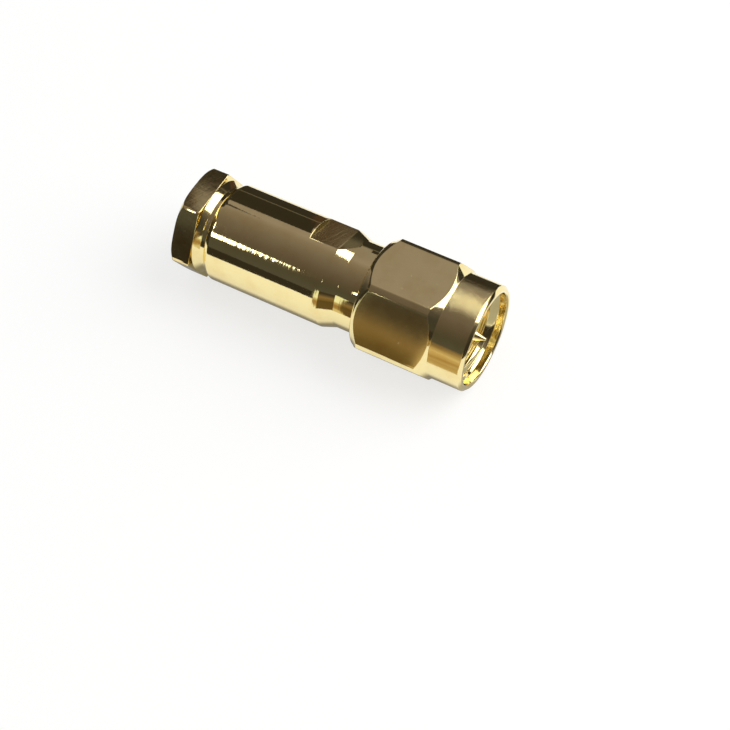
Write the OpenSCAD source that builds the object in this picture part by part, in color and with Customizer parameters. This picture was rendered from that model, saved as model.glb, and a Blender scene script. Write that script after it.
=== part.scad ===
// Coaxial cable plug with a hexagonal coupling nut and a screwed cable clamp.
// The plug lies along X. Its mating plane, where the outer contacts meet, is at X = 0,
// and the coupling nut opens towards +X. One flat of the coupling nut faces down, along -Z.

/* [Coupling nut] */
// Width of the coupling nut across its flats
nut_af = 8; // [7.8:0.1:9]
// Diameter that the nut is turned to before its flats are milled
nut_round_d = 8.98; // [8.7:0.02:9.2]
// Length of the nut from its front rim to its rear rim
nut_length = 8.48; // [8:0.02:10]
// Distance that the nut's front rim stands past the mating plane
nut_reach = 2.38; // [1.8:0.02:2.6]
// Diameter of the round collar in front of the flats
collar_d = 7.68; // [7.3:0.02:7.8]
// Length of the round collar, from the front rim to the cone behind it
collar_length = 2.53; // [1.6:0.01:3.2]
// Width of the bevel around the outside of the front rim
rim_bevel = 0.23; // [0.1:0.01:0.3]
// Width of the flat ring that is left on the front rim
rim_land = 0.18; // [0.05:0.01:0.25]
// Width of the bevel around the inside of the front rim
mouth_bevel = 0.1; // [0.05:0.01:0.15]
// Depth of the plain counterbore in front of the coupling thread
front_bore_depth = 0.6; // [0.3:0.05:0.9]
// Diameter of the nut's rear rim
rear_rim_d = 7.1; // [6.9:0.05:7.4]
// Length of the rounding in front of the rear rim
rear_round_length = 0.22; // [0.1:0.01:0.3]
// Diameter at which the rounding meets the bevel of the hexagon
rear_bevel_d = 7.81; // [7.6:0.01:8]
// Length of the hexagon's rear bevel, from the rear rim to the full diameter
rear_bevel_length = 0.9; // [0.8:0.01:1.4]
// Minor diameter of the coupling thread
thread_minor_d = 5.7; // [5.65:0.01:5.8]
// Length of the threaded bore with its lead-in, from the front rim
thread_length = 4.28; // [3.6:0.02:4.4]

/* [Nut bearing] */
// Diameter of the body's hub, on which the coupling nut turns
hub_d = 5.7; // [5.4:0.05:5.8]
// Gap between the nut and the body all around, for free turning
turn_gap = 0.07; // [0.03:0.01:0.1]
// Gap along the axis between the nut and what it turns against
face_gap = 0.05; // [0.03:0.01:0.1]
// Thickness of the snap ring along the axis
ring_width = 0.42; // [0.3:0.02:0.6]
// Height of the snap ring from its inside to its outside
ring_height = 0.65; // [0.5:0.05:0.7]
// Distance from the hub's front shoulder to the snap ring
ring_setback = 0.69; // [0.5:0.01:0.9]
// Depth that the snap ring sits in the hub
ring_depth = 0.3; // [0.25:0.05:0.4]
// Gap around the snap ring in its grooves
ring_gap = 0.08; // [0.04:0.01:0.12]
// Angle left open in the snap ring
ring_opening = 22; // [10:1:60]

/* [Interface] */
// Outside diameter of the outer contact sleeve
sleeve_d = 4.57; // [4.5:0.01:4.6]
// Bevel around the front edge of the sleeve
sleeve_bevel = 0.06; // [0.02:0.01:0.1]
// Thickness of the sleeve's wall around the front insulator
sleeve_wall = 0.22; // [0.18:0.01:0.4]
// Gap around an insulator in the body and around the pin in an insulator
seat_gap = 0.015; // [0.01:0.005:0.03]
// Outside diameter of the interface gasket
gasket_d = 6.2; // [5.9:0.05:6.3]
// Thickness of the interface gasket
gasket_thickness = 0.9; // [0.6:0.05:1]
// Distance from the mating plane to the front of the interface gasket
gasket_depth = 2.05; // [1.95:0.05:2.3]
// Gap around the gasket on its sleeve and inside the nut
gasket_gap = 0.05; // [0.02:0.01:0.1]
// Depth of the taper at the sleeve's root that keeps the gasket in place
gasket_seat_depth = 0.08; // [0.02:0.01:0.1]

/* [Centre pin] */
// Diameter of the contact end of the pin
pin_d = 0.914; // [0.9:0.002:0.94]
// Distance that the pin's tip stands past the mating plane
pin_reach = 2.36; // [1.8:0.02:2.5]
// Length of the pin's tapered tip
pin_taper = 1; // [0.6:0.05:1.2]
// Diameter at the very end of the pin
pin_end_d = 0.18; // [0.1:0.02:0.3]
// Diameter of the pin inside the insulators
pin_shank_d = 1.27; // [1.1:0.01:1.5]
// Distance that the pin's rear end stays inside the rear insulator
pin_setback = 0.16; // [0.1:0.02:0.6]
// Diameter of the collar that holds the pin between the insulators
pin_collar_d = 1.9; // [1.7:0.05:2.4]
// Thickness of the pin's collar
pin_collar_width = 0.36; // [0.2:0.02:0.6]
// Bore of the solder cup for the cable's inner conductor
cup_d = 0.56; // [0.4:0.02:0.8]
// Depth of the solder cup
cup_depth = 1.8; // [1:0.1:2.4]
// Diameter of the solder hole in the side of the cup
solder_hole_d = 0.36; // [0.2:0.02:0.5]
// Distance from the cup's open end to the solder hole
solder_hole_setback = 0.45; // [0.3:0.05:0.9]
// Length of the front insulator
front_insulator_length = 6.4; // [6:0.1:6.6]
// Length of the rear insulator
rear_insulator_length = 1; // [0.6:0.05:1.1]

/* [Body] */
// Diameter of the neck behind the coupling nut
neck_d = 6.38; // [6.1:0.02:6.5]
// Depth that the neck reaches into the coupling nut
neck_cover = 0.95; // [0.6:0.05:1.2]
// Distance from the coupling nut's rear rim to the body's cone
neck_length = 1.6; // [1:0.1:2.5]
// Length of the cone between the neck and the body's main part
cone_length = 1.06; // [0.6:0.02:1.4]
// Diameter of the body's main part
body_d = 7.15; // [7:0.01:7.6]
// Length of the body's main part, with its rear bevel
body_length = 9.11; // [8.6:0.01:11]
// Length of the bevel at the body's rear edge
body_bevel_length = 0.37; // [0.2:0.01:0.6]
// Height of the bevel at the body's rear edge
body_bevel_height = 0.19; // [0.1:0.01:0.2]
// Width of the body across its two spanner flats
spanner_af = 6.4; // [6.2:0.02:6.7]
// Length of each spanner flat, measured along the body's main part
spanner_length = 2.14; // [1.6:0.01:3]
// Angle of the first spanner flat, from the front view's left round to the top
spanner_angle = 113; // [0:1:180]

/* [Cable clamp] */
// Nominal diameter of the clamp nut's thread
clamp_thread_d = 6; // [5.9:0.05:6.2]
// Pitch of the clamp nut's thread
clamp_pitch = 0.75; // [0.5:0.05:0.8]
// Gap around the clamp nut's shank in the body
thread_gap = 0.05; // [0.02:0.01:0.1]
// Length of the threaded bore in the body, in front of its open mouth
clamp_thread_length = 4.4; // [4:0.1:5]
// Width of the clamp nut across its flats
clamp_af = 7; // [6.8:0.05:7.4]
// Length of the clamp nut's head
clamp_head_length = 2; // [1.6:0.05:3]
// Diameter at the rear end of the clamp nut's head
clamp_rear_d = 6.8; // [6.2:0.05:7]
// Length of the rounding at the rear of the clamp nut's head
clamp_rear_round = 0.55; // [0.3:0.05:0.8]
// Length of the cone between the clamp nut's hexagon and its neck
clamp_shoulder = 0.42; // [0.2:0.02:0.6]
// Diameter of that cone at the hexagon
clamp_shoulder_d = 6.94; // [6.7:0.02:6.96]
// Diameter of the clamp nut's neck, between its head and its thread
clamp_neck_d = 6.1; // [6.05:0.01:6.2]
// Gap between the clamp nut's head and the body's rear face, as the nut was left
clamp_open = 0.43; // [0.35:0.01:1]
// Length of the clamp nut's shank in front of the head
shank_length = 5; // [4.6:0.1:5.2]
// Depth of the mouth at the rear of the body, which takes the nut's neck
mouth_depth = 0.57; // [0.5:0.01:0.8]
// Gap around the nut's neck in the body's mouth
mouth_gap = 0.1; // [0.05:0.01:0.12]
// Angle at which the clamp nut was left
clamp_turn = 2; // [0:1:59]
// Bore of the clamp nut, for the cable's jacket
cable_bore_d = 3; // [2.6:0.1:3.4]
// Bevel around the cable bore
cable_bevel = 0.25; // [0.1:0.05:0.4]
// Gap around the loose clamp pieces in the body
loose_gap = 0.1; // [0.05:0.01:0.2]
// Length of the braid clamp
braid_clamp_length = 2.1; // [1.6:0.1:2.4]
// Length of the braid clamp's cone
braid_cone_length = 0.8; // [0.4:0.05:1]
// Diameter at the front of the braid clamp's cone
braid_nose_d = 3.5; // [3.4:0.05:4]
// Thickness of the clamp washer
washer_thickness = 0.5; // [0.3:0.05:0.6]
// Gap between the clamp gasket and the washer, in which the clamp is tightened
clamp_slack = 0.49; // [0.35:0.01:1]
// Gap between the loose clamp pieces along the axis
stack_gap = 0.05; // [0.02:0.01:0.1]

/* [Hidden] */
$fn = 96;
ROUND_STEPS = 6;   // straight pieces in each rounded corner of a turned outline
CUT = 1;           // how far a cut runs past the surface that it opens

// Places along X, from the front of the plug to its rear
nut_front_x = nut_reach;
nut_rear_x = nut_reach - nut_length;
thread_end_x = nut_reach - thread_length;
hub_front_x = -gasket_depth - gasket_thickness;
ring_front_x = hub_front_x - ring_setback;
ring_rear_x = ring_front_x - ring_width;
neck_front_x = nut_rear_x + neck_cover;
nut_step_x = neck_front_x + 2 * face_gap;
cone_front_x = nut_rear_x - neck_length;
body_front_x = cone_front_x - cone_length;
body_rear_x = body_front_x - body_length;
mouth_x = body_rear_x + mouth_depth;
clamp_thread_end_x = mouth_x + clamp_thread_length;
head_front_x = body_rear_x - clamp_open;
head_rear_x = head_front_x - clamp_head_length;
shank_end_x = head_front_x + shank_length;
insulator_end_x = -front_insulator_length;
rear_insulator_x = insulator_end_x - pin_collar_width - 2 * stack_gap;
rear_insulator_end_x = rear_insulator_x - rear_insulator_length;
pin_rear_x = rear_insulator_end_x + pin_setback;
braid_clamp_x = rear_insulator_end_x - 5 * stack_gap;
braid_clamp_end_x = braid_clamp_x - braid_clamp_length;
clamp_gasket_x = braid_clamp_end_x - stack_gap;
washer_x = shank_end_x + stack_gap + washer_thickness;

// Radii that follow from what each piece fits
nut_bore_r = hub_d / 2 + turn_gap;
nut_rear_bore_r = neck_d / 2 + turn_gap;
nut_chamber_r = gasket_d / 2 + 3 * gasket_gap;
gasket_seat_x = face_gap - gasket_depth;
gasket_seat_r = sleeve_d / 2 - gasket_seat_depth;
ring_inner_r = hub_d / 2 - ring_depth;
ring_outer_r = ring_inner_r + ring_height;
mouth_bevel_r = collar_d / 2 - rim_bevel - rim_land;
front_bore_r = mouth_bevel_r - mouth_bevel;
lead_in = front_bore_r - thread_minor_d / 2;
insulator_bore_r = sleeve_d / 2 - sleeve_wall;
insulator_r = insulator_bore_r - seat_gap;
clamp_thread_depth = 0.54 * clamp_pitch;
clamp_bore_r = clamp_thread_d / 2 - clamp_thread_depth;
shank_r = clamp_bore_r - thread_gap;
mouth_r = clamp_neck_d / 2 + mouth_gap;
loose_r = clamp_bore_r - loose_gap;
cable_r = cable_bore_d / 2;

// Turns an outline of [x, radius] points about the X axis.
module turned(outline, angle = 360)
    rotate([0, 90, 0]) rotate_extrude(angle = angle)
        polygon([for (p = outline) [p[1], p[0]]]);

// A hexagonal bar along X with one flat facing down, turned by an angle about X.
module hex_bar(x_low, x_high, across_flats, turn = 0)
    translate([x_low, 0, 0]) rotate([turn, 0, 0]) rotate([0, 90, 0]) rotate([0, 0, 30])
        cylinder(h = x_high - x_low, d = across_flats / cos(30), $fn = 6);

// Points of a quarter of an ellipse, from [x_end, r_end] out to the full radius r_full.
function rounding(x_end, r_end, x_full, r_full) = [
    for (i = [0 : ROUND_STEPS])
        let (a = 90 * i / ROUND_STEPS)
            [x_full + (x_end - x_full) * cos(a), r_end + (r_full - r_end) * sin(a)]];

module coupling_nut_outside() {
    collar_r = collar_d / 2;
    round_r = nut_round_d / 2;
    cone_x = nut_front_x - collar_length;
    turned(concat(
        [[nut_rear_x, 0]],
        rounding(nut_rear_x, rear_rim_d / 2, nut_rear_x + rear_round_length, rear_bevel_d / 2),
        [[nut_rear_x + rear_bevel_length, round_r],
         [cone_x - (round_r - collar_r), round_r], [cone_x, collar_r],
         [nut_front_x - rim_bevel, collar_r], [nut_front_x, collar_r - rim_bevel],
         [nut_front_x, 0]]));
}

module coupling_nut_bore() {
    minor_r = thread_minor_d / 2;
    chamber_end_x = hub_front_x - face_gap;
    groove_front_x = ring_front_x + ring_gap;
    groove_rear_x = ring_rear_x - ring_gap;
    groove_r = ring_outer_r + 2 * ring_gap;
    turned([
        [nut_front_x + CUT, 0], [nut_front_x + CUT, mouth_bevel_r + CUT],
        [nut_front_x, mouth_bevel_r], [nut_front_x - mouth_bevel, front_bore_r],
        [nut_front_x - front_bore_depth, front_bore_r],
        [nut_front_x - front_bore_depth - lead_in, minor_r],
        [thread_end_x, minor_r], [thread_end_x, nut_chamber_r],
        [chamber_end_x, nut_chamber_r], [chamber_end_x, nut_bore_r],
        [groove_front_x, nut_bore_r], [groove_front_x, groove_r],
        [groove_rear_x, groove_r], [groove_rear_x, nut_bore_r],
        [nut_step_x, nut_bore_r], [nut_step_x, nut_rear_bore_r],
        [nut_rear_x - CUT, nut_rear_bore_r], [nut_rear_x - CUT, 0]]);
}

module coupling_nut() color("gold")
    difference() {
        intersection() {
            coupling_nut_outside();
            hex_bar(nut_rear_x - CUT, nut_front_x + CUT, nut_af);
        }
        coupling_nut_bore();
    }

// The snap ring is an open ring with its opening at the top.
module snap_ring() color("darkgoldenrod")
    rotate([180 + ring_opening / 2, 0, 0])
        turned([[ring_rear_x, ring_inner_r], [ring_rear_x, ring_outer_r],
                [ring_front_x, ring_outer_r], [ring_front_x, ring_inner_r]],
               360 - ring_opening);

module interface_gasket() color("orangered")
    turned([[hub_front_x, gasket_seat_r + gasket_gap], [hub_front_x, gasket_d / 2],
            [-gasket_depth, gasket_d / 2], [-gasket_depth, sleeve_d / 2 + gasket_gap]]);

module body_outside() {
    groove_front_x = ring_front_x + ring_gap / 2;
    groove_rear_x = ring_rear_x - ring_gap / 2;
    groove_r = ring_inner_r - ring_gap;
    sleeve_r = sleeve_d / 2;
    hub_r = hub_d / 2;
    neck_r = neck_d / 2;
    body_r = body_d / 2;
    turned([
        [0, 0], [0, sleeve_r - sleeve_bevel], [-sleeve_bevel, sleeve_r],
        [gasket_seat_x, sleeve_r], [hub_front_x, gasket_seat_r], [hub_front_x, hub_r],
        [groove_front_x, hub_r], [groove_front_x, groove_r],
        [groove_rear_x, groove_r], [groove_rear_x, hub_r],
        [neck_front_x, hub_r], [neck_front_x, neck_r],
        [cone_front_x, neck_r], [body_front_x, body_r],
        [body_rear_x + body_bevel_length, body_r],
        [body_rear_x, body_r - body_bevel_height], [body_rear_x, 0]]);
}

module body_bore() {
    chamber_x = rear_insulator_end_x - stack_gap;
    chamber_r = clamp_bore_r - thread_gap;
    turned([
        [CUT, 0], [CUT, insulator_bore_r],
        [chamber_x, insulator_bore_r], [chamber_x - 2 * stack_gap, chamber_r],
        [clamp_thread_end_x, chamber_r], [clamp_thread_end_x, clamp_bore_r],
        [mouth_x, clamp_bore_r], [mouth_x, mouth_r],
        [body_rear_x + mouth_gap, mouth_r], [body_rear_x, mouth_r + mouth_gap],
        [body_rear_x - CUT, mouth_r + mouth_gap], [body_rear_x - CUT, 0]]);
}

module connector_body() color("goldenrod")
    difference() {
        body_outside();
        body_bore();
        for (side = [0, 180])
            rotate([90 - spanner_angle + side, 0, 0])
                translate([body_front_x - spanner_length, -body_d / 2, spanner_af / 2])
                    cube([spanner_length + cone_length, body_d, body_d]);
    }

module centre_pin() color("khaki")
    difference() {
        shank_r = pin_shank_d / 2;
        collar_x = insulator_end_x - stack_gap;
        turned([
            [pin_reach, 0], [pin_reach, pin_end_d / 2], [pin_reach - pin_taper, pin_d / 2],
            [0, pin_d / 2], [0, shank_r], [collar_x, shank_r],
            [collar_x, pin_collar_d / 2], [collar_x - pin_collar_width, pin_collar_d / 2],
            [collar_x - pin_collar_width, shank_r],
            [pin_rear_x, shank_r], [pin_rear_x, 0]]);
        translate([pin_rear_x - CUT, 0, 0]) rotate([0, 90, 0])
            cylinder(h = cup_depth + CUT, d = cup_d);
        translate([pin_rear_x + solder_hole_setback, 0, 0])
            cylinder(h = pin_shank_d, d = solder_hole_d);
    }

// A plain insulating sleeve around the pin, between two places along X.
module insulator(x_front, x_rear) {
    inner_r = pin_shank_d / 2 + seat_gap;
    turned([[x_rear, inner_r], [x_rear, insulator_r],
            [x_front, insulator_r], [x_front, inner_r]]);
}

module front_insulator() color("white") insulator(0, insulator_end_x);

module rear_insulator() color("white") insulator(rear_insulator_x, rear_insulator_end_x);

module braid_clamp() color("gold")
    turned([
        [braid_clamp_x, cable_r], [braid_clamp_x, braid_nose_d / 2],
        [braid_clamp_x - braid_cone_length, loose_r],
        [braid_clamp_end_x, loose_r], [braid_clamp_end_x, cable_r]]);

// A ring around the cable, among the loose clamp pieces.
module clamp_ring(x_front, length)
    turned([[x_front - length, cable_r], [x_front - length, loose_r],
            [x_front, loose_r], [x_front, cable_r]]);

module clamp_gasket() color("dimgray")
    clamp_ring(clamp_gasket_x, clamp_gasket_x - washer_x - clamp_slack);

module clamp_washer() color("silver") clamp_ring(washer_x, washer_thickness);

module clamp_nut_outside() {
    corner_r = clamp_af / 2 / cos(30);
    neck_r = clamp_neck_d / 2;
    hexagon_x = head_front_x - clamp_shoulder;
    turned(concat(
        [[head_rear_x, 0]],
        rounding(head_rear_x, clamp_rear_d / 2, head_rear_x + clamp_rear_round, corner_r),
        [[hexagon_x, corner_r], [hexagon_x, clamp_shoulder_d / 2], [head_front_x, neck_r],
         [body_rear_x + mouth_gap, neck_r], [body_rear_x + mouth_gap, shank_r],
         [shank_end_x - cable_bevel, shank_r], [shank_end_x, shank_r - cable_bevel],
         [shank_end_x, 0]]));
}

module clamp_nut() color("gold")
    difference() {
        intersection() {
            clamp_nut_outside();
            hex_bar(head_rear_x - CUT, shank_end_x + CUT, clamp_af, -clamp_turn);
        }
        turned([
            [head_rear_x - CUT, 0], [head_rear_x - CUT, cable_r + cable_bevel + CUT],
            [head_rear_x + cable_bevel, cable_r],
            [shank_end_x + CUT, cable_r], [shank_end_x + CUT, 0]]);
    }

connector_body();
coupling_nut();
snap_ring();
interface_gasket();
centre_pin();
front_insulator();
rear_insulator();
braid_clamp();
clamp_gasket();
clamp_washer();
clamp_nut();
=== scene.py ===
"""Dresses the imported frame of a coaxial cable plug: its nuts, body, threads, finishes and studio."""

import math

import bmesh
import bpy
from bpy.props import FloatProperty, FloatVectorProperty, PointerProperty
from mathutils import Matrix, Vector


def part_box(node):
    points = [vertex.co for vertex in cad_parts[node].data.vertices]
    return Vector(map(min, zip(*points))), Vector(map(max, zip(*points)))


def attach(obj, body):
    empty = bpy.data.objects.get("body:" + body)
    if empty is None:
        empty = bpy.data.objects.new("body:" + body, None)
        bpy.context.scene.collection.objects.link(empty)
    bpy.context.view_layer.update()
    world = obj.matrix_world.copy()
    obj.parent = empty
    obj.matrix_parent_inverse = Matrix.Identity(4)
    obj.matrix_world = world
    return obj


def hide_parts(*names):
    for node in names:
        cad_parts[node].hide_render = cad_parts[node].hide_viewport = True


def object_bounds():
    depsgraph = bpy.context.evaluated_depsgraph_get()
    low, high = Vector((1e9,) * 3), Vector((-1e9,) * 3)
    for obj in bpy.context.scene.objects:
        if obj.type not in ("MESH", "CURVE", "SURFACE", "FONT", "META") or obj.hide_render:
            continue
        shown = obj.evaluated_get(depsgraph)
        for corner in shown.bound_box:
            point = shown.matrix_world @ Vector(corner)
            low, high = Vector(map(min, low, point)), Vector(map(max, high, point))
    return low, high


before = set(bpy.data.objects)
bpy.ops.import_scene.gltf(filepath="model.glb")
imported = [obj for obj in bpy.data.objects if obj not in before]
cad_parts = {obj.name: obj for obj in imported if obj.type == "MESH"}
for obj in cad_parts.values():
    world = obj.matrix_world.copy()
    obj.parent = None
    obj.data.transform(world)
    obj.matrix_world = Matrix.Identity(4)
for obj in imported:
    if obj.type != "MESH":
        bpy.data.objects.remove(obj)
CAD_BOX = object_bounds()

bl_info = {
    "name": "Coaxial Plug Finishes",
    "version": (1, 0, 0),
    "blender": (4, 5, 0),
    "location": "3D View > Sidebar > Plug",
    "description": "Builds the turned, milled and threaded pieces of a coaxial cable plug",
    "category": "Object",
}

MM = 0.001
FULL_TURN = 2 * math.pi
SIXTH = math.pi / 3

# Ends of the main pieces along the plug's axis, read from the frame, in millimetres
NUT_REAR, NUT_FRONT = (corner.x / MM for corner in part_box("coupling_nut"))
BODY_REAR, BODY_FRONT = (corner.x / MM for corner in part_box("connector_body"))
CLAMP_REAR, CLAMP_FRONT = (corner.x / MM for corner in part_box("clamp_nut"))

CORNER_STEPS = 3  # straight pieces in each rounded corner of a section
ROUNDING_STEPS = 8  # straight pieces in the rounded rear of a nut
ROWS_A_PITCH = 16  # rows of the mesh in one pitch of a thread
CORNER_FACE = 0.013  # radians: a narrower face belongs to a corner
TURNED, FLAT, INSIDE, COLLAR = 0, 1, 2, 3  # material indices on the nuts and the body


# ---------------------------------------------------------------- settings

LENGTH = {"unit": "LENGTH", "precision": 6}
COLOUR = {"subtype": "COLOR", "size": 3, "min": 0, "max": 1}


class PlugSizes(bpy.types.PropertyGroup):
    """Sizes of the threads, edges and flats, in metres"""

    interface_pitch: FloatProperty(
        name="Interface thread pitch",
        description="Travel of one turn of the coupling thread, 36 turns to the inch",
        default=0.0254 / 36,
        **LENGTH,
    )
    interface_major: FloatProperty(
        name="Interface thread diameter",
        description="Diameter at the roots of the coupling nut's thread",
        default=0.00635,
        **LENGTH,
    )
    clamp_pitch: FloatProperty(
        name="Clamp thread pitch",
        description="Travel of one turn of the clamp nut",
        default=0.00075,
        **LENGTH,
    )
    clamp_major: FloatProperty(
        name="Clamp thread diameter",
        description="Diameter at the roots of the thread in the body",
        default=0.006,
        **LENGTH,
    )
    nut_across: FloatProperty(
        name="Coupling nut across flats",
        description="Width of the coupling nut between two opposite flats",
        default=0.008,
        **LENGTH,
    )
    clamp_across: FloatProperty(
        name="Clamp nut across flats",
        description="Width of the clamp nut between two opposite flats",
        default=0.007,
        **LENGTH,
    )
    spanner_across: FloatProperty(
        name="Body across flats",
        description="Width of the body between its two spanner flats",
        default=0.0064,
        **LENGTH,
    )
    edge: FloatProperty(
        name="Edge rounding",
        description="How far a turned edge is rounded back by deburring and plating",
        default=0.00004,
        **LENGTH,
    )


class PlugColours(bpy.types.PropertyGroup):
    """Colours of the plated metal, the insulators and the gaskets"""

    gold: FloatVectorProperty(
        name="Gold plate",
        description="Colour of the gold plating in full light",
        default=(0.94, 0.80, 0.40),
        **COLOUR,
    )
    worn_gold: FloatVectorProperty(
        name="Thin gold plate",
        description="Colour of the plating where it is thinner or stained",
        default=(0.82, 0.60, 0.24),
        **COLOUR,
    )
    nickel: FloatVectorProperty(
        name="Nickel plate",
        description="Colour of the plain clamp washer",
        default=(0.62, 0.59, 0.53),
        **COLOUR,
    )
    insulator: FloatVectorProperty(
        name="Insulator",
        description="Colour of the white insulators around the pin",
        default=(0.86, 0.86, 0.83),
        **COLOUR,
    )
    seal: FloatVectorProperty(
        name="Silicone gasket",
        description="Colour of the silicone gasket inside the coupling nut",
        default=(0.48, 0.05, 0.02),
        **COLOUR,
    )
    rubber: FloatVectorProperty(
        name="Clamp gasket",
        description="Colour of the black rubber ring in the cable clamp",
        default=(0.012, 0.012, 0.013),
        **COLOUR,
    )


class PlugStudio(bpy.types.PropertyGroup):
    """Brightness and colours of the studio"""

    window: FloatProperty(
        name="Window",
        description="Brightness of the large soft light at the front right",
        default=3.0,
        min=0,
    )
    strip: FloatProperty(
        name="Strip light",
        description="Brightness of the small light at the front left",
        default=5.0,
        min=0,
    )
    overhead: FloatProperty(
        name="Overhead light",
        description="Brightness of the lamp that makes the frosted collar sparkle",
        default=4.0,
        min=0,
    )
    sky: FloatProperty(
        name="Fill",
        description="Brightness of the even light from all sides",
        default=0.55,
        min=0,
    )
    tent: FloatProperty(
        name="Tent",
        description="Brightness of the tent around the plug as the metal mirrors it",
        default=1.0,
        min=0,
    )
    floor: FloatVectorProperty(
        name="Floor",
        description="Colour of the floor",
        default=(0.3, 0.3, 0.298),
        **COLOUR,
    )
    floor_glow: FloatProperty(
        name="Floor glow",
        description="Light of the floor's own that the camera and the metal see",
        default=0.7,
        min=0,
    )


# ---------------------------------------------------------------- node helpers


def place(tree, kind, inputs=None, **settings):
    """Adds a node with its settings, and gives each named input a value or a link."""
    node = tree.nodes.new(kind)
    for key, value in settings.items():
        setattr(node, key, value)
    for key, value in (inputs or {}).items():
        if isinstance(value, bpy.types.NodeSocket):
            tree.links.new(value, node.inputs[key])
        else:
            node.inputs[key].default_value = value
    return node


def calc(tree, operation, *values, clamp=False):
    """A Math node on numbers or sockets, as its output socket."""
    kind = "ShaderNodeMath"
    return place(tree, kind, dict(enumerate(values)), operation=operation, use_clamp=clamp).outputs[0]


def axes(tree, vector):
    """The three parts of a vector, as sockets."""
    return place(tree, "ShaderNodeSeparateXYZ", {0: vector}).outputs


def own_place(tree):
    """The place on the object, in metres."""
    return tree.nodes.new("ShaderNodeTexCoord").outputs["Object"]


def remap(tree, value, low, high, to_low, to_high, smooth=False):
    """Takes a value from one range to another, held at both ends."""
    return place(
        tree,
        "ShaderNodeMapRange",
        {"Value": value, 1: low, 2: high, 3: to_low, 4: to_high},
        interpolation_type="SMOOTHSTEP" if smooth else "LINEAR",
    ).outputs["Result"]


def noise(tree, vector, scale, detail=2.0, rough=0.5, distortion=0.0):
    """A noise texture's value."""
    return place(
        tree,
        "ShaderNodeTexNoise",
        {
            "Vector": vector,
            "Scale": scale,
            "Detail": detail,
            "Roughness": rough,
            "Distortion": distortion,
        },
    ).outputs["Fac"]


def blend_colours(tree, factor, one, other):
    """A mix of two colours, given as three numbers or sockets."""
    four = [c if isinstance(c, bpy.types.NodeSocket) else (*c, 1.0) for c in (one, other)]
    # The sockets of a colour mix are number 0 for the factor, and 6 and 7 for the colours
    inputs = {0: factor, 6: four[0], 7: four[1]}
    return place(tree, "ShaderNodeMix", inputs, data_type="RGBA").outputs[2]


def new_group(name, inputs, outputs):
    """An empty shader node group with named number, vector or colour sockets."""
    group = bpy.data.node_groups.new(name, "ShaderNodeTree")
    for key, default in inputs.items():
        kind = "NodeSocketVector" if default is None else "NodeSocketFloat"
        socket = group.interface.new_socket(key, in_out="INPUT", socket_type=kind)
        if default is not None:
            socket.default_value = default
    for key in outputs:
        group.interface.new_socket(key, in_out="OUTPUT", socket_type="NodeSocketFloat")
    return group, group.nodes.new("NodeGroupInput").outputs, group.nodes.new("NodeGroupOutput").inputs


def axis_stretch(tree, vector, along, around):
    """The place in millimetres, scaled along the plug's axis and across it."""
    return place(
        tree,
        "ShaderNodeVectorMath",
        {0: vector, 1: (along, around, around)},
        operation="MULTIPLY",
    ).outputs[0]


def turning_marks_group():
    """Fine rings left by the lathe: a height, and a mask of the deeper rings."""
    group, given, made = new_group(
        "Turning marks", {"Place": None, "Rings": 5.0}, ["Height", "Ring mask"]
    )
    fine = noise(group, axis_stretch(group, given["Place"], 1.0, 0.05), given["Rings"], 3.0, 0.6)
    coarse = noise(group, axis_stretch(group, given["Place"], 0.35, 0.03), given["Rings"], 1.0)
    total = calc(group, "MULTIPLY_ADD", coarse, 0.5, fine)
    group.links.new(total, made["Height"])
    group.links.new(remap(group, fine, 0.52, 0.7, 0.0, 1.0), made["Ring mask"])
    return group


def frosting_group():
    """Fine frosting of plated flats: a height, and a mask of the brightest grains."""
    group, given, made = new_group("Frosting", {"Place": None, "Grains": 9.0}, ["Height", "Grain mask"])
    grain = noise(group, given["Place"], given["Grains"], 1.0, 0.5)
    pits = place(
        group,
        "ShaderNodeTexVoronoi",
        {"Vector": given["Place"], "Scale": given["Grains"], "Randomness": 1.0},
    ).outputs["Distance"]
    pit = remap(group, pits, 0.05, 0.3, 1.0, 0.0)
    total = calc(group, "MULTIPLY_ADD", pit, 0.25, grain)
    group.links.new(total, made["Height"])
    group.links.new(remap(group, grain, 0.6, 0.75, 0.0, 1.0), made["Grain mask"])
    return group


def milling_marks_group():
    """Streaks that a cutter leaves across a flat, in the direction of the given turn."""
    group, given, made = new_group(
        "Milling marks",
        {"Place": None, "Turn": 0.0, "Lines": 6.0},
        ["Height", "Line mask"],
    )
    turned = place(
        group,
        "ShaderNodeVectorRotate",
        {"Vector": given["Place"], "Angle": given["Turn"]},
        rotation_type="Z_AXIS",
    ).outputs[0]
    lined = axis_stretch(group, turned, 1.0, 0.08)
    lines = noise(group, lined, given["Lines"], 3.0, 0.65)
    group.links.new(lines, made["Height"])
    group.links.new(remap(group, lines, 0.5, 0.68, 0.0, 1.0), made["Line mask"])
    return group


def plate_tone_group():
    """Slow changes of a plated surface: how worn the plate is, and how rough."""
    group, given, made = new_group(
        "Plate tone",
        {"Place": None, "Smooth": 0.08, "Rough": 0.16},
        ["Thin plate", "Roughness"],
    )
    cloud = noise(group, given["Place"], 0.7, 3.0, 0.55)
    smudge = noise(group, given["Place"], 2.6, 4.0, 0.6, 0.4)
    group.links.new(remap(group, cloud, 0.4, 0.75, 0.0, 1.0, True), made["Thin plate"])
    smudged = remap(group, smudge, 0.3, 0.75, 0.0, 1.0)
    rough = place(
        group,
        "ShaderNodeMapRange",
        {"Value": smudged, 3: given["Smooth"], 4: given["Rough"]},
    ).outputs["Result"]
    group.links.new(rough, made["Roughness"])
    return group


def shared_groups():
    """The shader groups that the materials share, built once."""
    made = {}
    for name, build in (
        ("Turning marks", turning_marks_group),
        ("Frosting", frosting_group),
        ("Milling marks", milling_marks_group),
        ("Plate tone", plate_tone_group),
    ):
        made[name] = bpy.data.node_groups.get(name) or build()
    return made


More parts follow.
